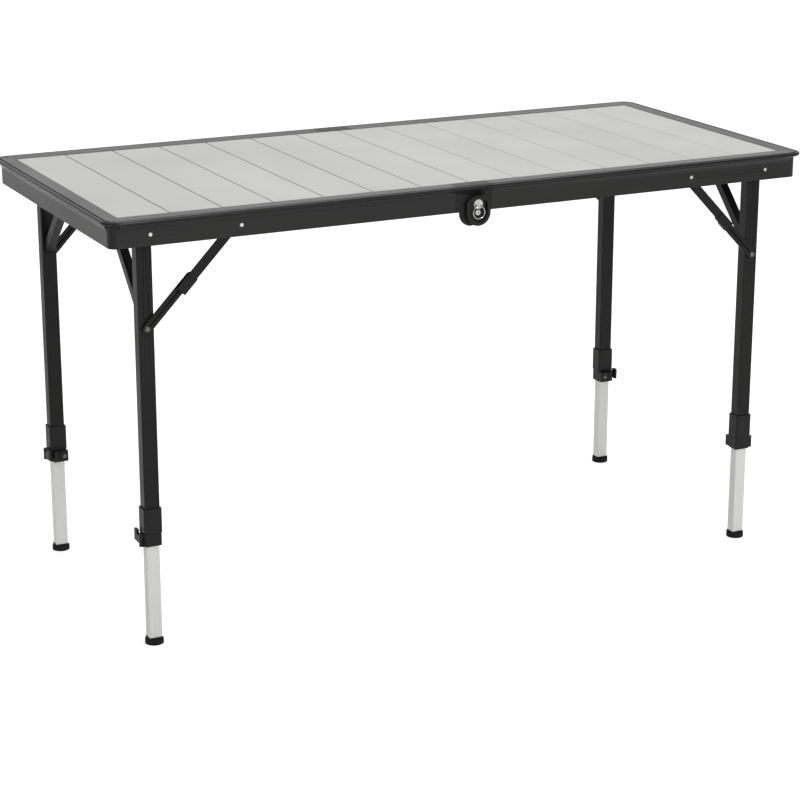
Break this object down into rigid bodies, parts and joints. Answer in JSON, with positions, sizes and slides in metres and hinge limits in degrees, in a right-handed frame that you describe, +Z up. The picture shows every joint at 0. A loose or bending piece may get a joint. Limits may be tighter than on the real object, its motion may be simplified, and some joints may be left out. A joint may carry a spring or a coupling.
{
  "type": "folding table",
  "caption": "Slatted aluminium camping table that folds in half, with folding braced legs and telescopic lower legs held by lever clamps.",
  "frame": {"origin": "on the floor under the middle of the open table", "axes": "+X along the table's length towards its right end, +Y across its width towards the back, +Z up"},
  "size_m": [1.29, 0.59, 0.72],
  "materials": {
    "slats": "satin anodised",
    "rim": "satin powder coat",
    "moulding": "fine-grained moulded plastic",
    "black_tube": "matt powder coat",
    "silver_tube": "satin anodised",
    "hardware": "bright plated",
    "rivet": "zinc plated"
  },
  "bodies": {
    "top_left": {"slats_left": "slats", "battens_left": "black_tube", "rim_left_front": "rim", "rim_left_back": "rim", "rim_left_end": "rim", "corners_left": "moulding", "hinge_left_front": "moulding", "hinge_left_back": "moulding", "axle_front": "hardware", "axle_back": "hardware", "rail_bolts_left": "hardware", "spacers_left": "rivet"},
    "top_right": {"slats_right": "slats", "battens_right": "black_tube", "rim_right_front": "rim", "rim_right_back": "rim", "rim_right_end": "rim", "corners_right": "moulding", "hinge_right_front": "moulding", "hinge_right_back": "moulding", "rail_bolts_right": "hardware", "spacers_right": "rivet"},
    "legs_left": {"leg_left_front": "black_tube", "leg_left_back": "black_tube", "crossbar_left": "black_tube", "leg_rivets_left": "rivet", "collar_left_front": "moulding", "collar_left_back": "moulding", "lever_pins_left": "rivet"},
    "lower_leg_left_front": {"lower_leg_left_front": "silver_tube", "foot_left_front": "moulding"},
    "lever_left_front": {"lever_left_front": "moulding"},
    "upper_arm_left_front": {"upper_arm_left_front": "black_tube"},
    "lower_arm_left_front": {"lower_arm_left_front": "black_tube"},
    "lower_leg_left_back": {"lower_leg_left_back": "silver_tube", "foot_left_back": "moulding"},
    "lever_left_back": {"lever_left_back": "moulding"},
    "upper_arm_left_back": {"upper_arm_left_back": "black_tube"},
    "lower_arm_left_back": {"lower_arm_left_back": "black_tube"},
    "legs_right": {"leg_right_front": "black_tube", "leg_right_back": "black_tube", "crossbar_right": "black_tube", "leg_rivets_right": "rivet", "collar_right_front": "moulding", "collar_right_back": "moulding", "lever_pins_right": "rivet"},
    "lower_leg_right_front": {"lower_leg_right_front": "silver_tube", "foot_right_front": "moulding"},
    "lever_right_front": {"lever_right_front": "moulding"},
    "upper_arm_right_front": {"upper_arm_right_front": "black_tube"},
    "lower_arm_right_front": {"lower_arm_right_front": "black_tube"},
    "lower_leg_right_back": {"lower_leg_right_back": "silver_tube", "foot_right_back": "moulding"},
    "lever_right_back": {"lever_right_back": "moulding"},
    "upper_arm_right_back": {"upper_arm_right_back": "black_tube"},
    "lower_arm_right_back": {"lower_arm_right_back": "black_tube"},
    "plunger_front": {"plunger_front": "hardware"},
    "pull_ring_front": {"pull_ring_front": "hardware"},
    "plunger_back": {"plunger_back": "hardware"},
    "pull_ring_back": {"pull_ring_back": "hardware"}
  },
  "joints": [
    {"name": "table_fold", "type": "hinge", "parent": "top_left", "child": "top_right", "pos_m": [0, 0, 0.674], "axis": [0, 1, 0], "range_deg": [0, 65]},
    {"name": "legs_fold_left", "type": "hinge", "parent": "top_left", "child": "legs_left", "pos_m": [-0.569, 0, 0.694], "axis": [0, -1, 0], "range_deg": [0, 90]},
    {"name": "leg_slide_left_front", "type": "slide", "parent": "legs_left", "child": "lower_leg_left_front", "axis": [0, 0, 1], "range_m": [0, 0.145]},
    {"name": "lever_swing_left_front", "type": "hinge", "parent": "legs_left", "child": "lever_left_front", "pos_m": [-0.5879, -0.248, 0.18], "axis": [0, 0, 1], "range_deg": [0, 100]},
    {"name": "upper_arm_turn_left_front", "type": "hinge", "parent": "top_left", "child": "upper_arm_left_front", "pos_m": [-0.417, -0.242, 0.694], "axis": [0, -1, 0], "range_deg": [-1, 135]},
    {"name": "lower_arm_turn_left_front", "type": "hinge", "parent": "legs_left", "child": "lower_arm_left_front", "pos_m": [-0.569, -0.242, 0.536], "axis": [0, 1, 0], "range_deg": [-1, 138]},
    {"name": "leg_slide_left_back", "type": "slide", "parent": "legs_left", "child": "lower_leg_left_back", "axis": [0, 0, 1], "range_m": [0, 0.145]},
    {"name": "lever_swing_left_back", "type": "hinge", "parent": "legs_left", "child": "lever_left_back", "pos_m": [-0.5879, 0.248, 0.18], "axis": [0, 0, -1], "range_deg": [0, 100]},
    {"name": "upper_arm_turn_left_back", "type": "hinge", "parent": "top_left", "child": "upper_arm_left_back", "pos_m": [-0.417, 0.242, 0.694], "axis": [0, -1, 0], "range_deg": [-1, 135]},
    {"name": "lower_arm_turn_left_back", "type": "hinge", "parent": "legs_left", "child": "lower_arm_left_back", "pos_m": [-0.569, 0.242, 0.536], "axis": [0, 1, 0], "range_deg": [-1, 138]},
    {"name": "legs_fold_right", "type": "hinge", "parent": "top_right", "child": "legs_right", "pos_m": [0.569, 0, 0.694], "axis": [0, 1, 0], "range_deg": [0, 90]},
    {"name": "leg_slide_right_front", "type": "slide", "parent": "legs_right", "child": "lower_leg_right_front", "axis": [0, 0, 1], "range_m": [0, 0.145]},
    {"name": "lever_swing_right_front", "type": "hinge", "parent": "legs_right", "child": "lever_right_front", "pos_m": [0.5879, -0.248, 0.18], "axis": [0, 0, -1], "range_deg": [0, 100]},
    {"name": "upper_arm_turn_right_front", "type": "hinge", "parent": "top_right", "child": "upper_arm_right_front", "pos_m": [0.417, -0.242, 0.694], "axis": [0, 1, 0], "range_deg": [-1, 135]},
    {"name": "lower_arm_turn_right_front", "type": "hinge", "parent": "legs_right", "child": "lower_arm_right_front", "pos_m": [0.569, -0.242, 0.536], "axis": [0, -1, 0], "range_deg": [-1, 138]},
    {"name": "leg_slide_right_back", "type": "slide", "parent": "legs_right", "child": "lower_leg_right_back", "axis": [0, 0, 1], "range_m": [0, 0.145]},
    {"name": "lever_swing_right_back", "type": "hinge", "parent": "legs_right", "child": "lever_right_back", "pos_m": [0.5879, 0.248, 0.18], "axis": [0, 0, 1], "range_deg": [0, 100]},
    {"name": "upper_arm_turn_right_back", "type": "hinge", "parent": "top_right", "child": "upper_arm_right_back", "pos_m": [0.417, 0.242, 0.694], "axis": [0, 1, 0], "range_deg": [-1, 135]},
    {"name": "lower_arm_turn_right_back", "type": "hinge", "parent": "legs_right", "child": "lower_arm_right_back", "pos_m": [0.569, 0.242, 0.536], "axis": [0, -1, 0], "range_deg": [-1, 138]},
    {"name": "plunger_pull_front", "type": "slide", "parent": "top_left", "child": "plunger_front", "axis": [0, -1, 0], "range_m": [0, 0.005], "stiffness_N_per_m": 400},
    {"name": "ring_swing_front", "type": "hinge", "parent": "plunger_front", "child": "pull_ring_front", "pos_m": [0, -0.2926, 0.685], "axis": [-1, 0, 0], "range_deg": [0, 80]},
    {"name": "plunger_pull_back", "type": "slide", "parent": "top_left", "child": "plunger_back", "axis": [0, 1, 0], "range_m": [0, 0.005], "stiffness_N_per_m": 400},
    {"name": "ring_swing_back", "type": "hinge", "parent": "plunger_back", "child": "pull_ring_back", "pos_m": [0, 0.2926, 0.685], "axis": [1, 0, 0], "range_deg": [0, 80]}
  ],
  "couplings": [
    {"joint": "upper_arm_turn_left_front", "follows": "legs_fold_left", "ratio": 1.4877},
    {"joint": "lower_arm_turn_left_front", "follows": "legs_fold_left", "ratio": 1.5123},
    {"joint": "upper_arm_turn_left_back", "follows": "legs_fold_left", "ratio": 1.4877},
    {"joint": "lower_arm_turn_left_back", "follows": "legs_fold_left", "ratio": 1.5123},
    {"joint": "upper_arm_turn_right_front", "follows": "legs_fold_right", "ratio": 1.4877},
    {"joint": "lower_arm_turn_right_front", "follows": "legs_fold_right", "ratio": 1.5123},
    {"joint": "upper_arm_turn_right_back", "follows": "legs_fold_right", "ratio": 1.4877},
    {"joint": "lower_arm_turn_right_back", "follows": "legs_fold_right", "ratio": 1.5123}
  ]
}
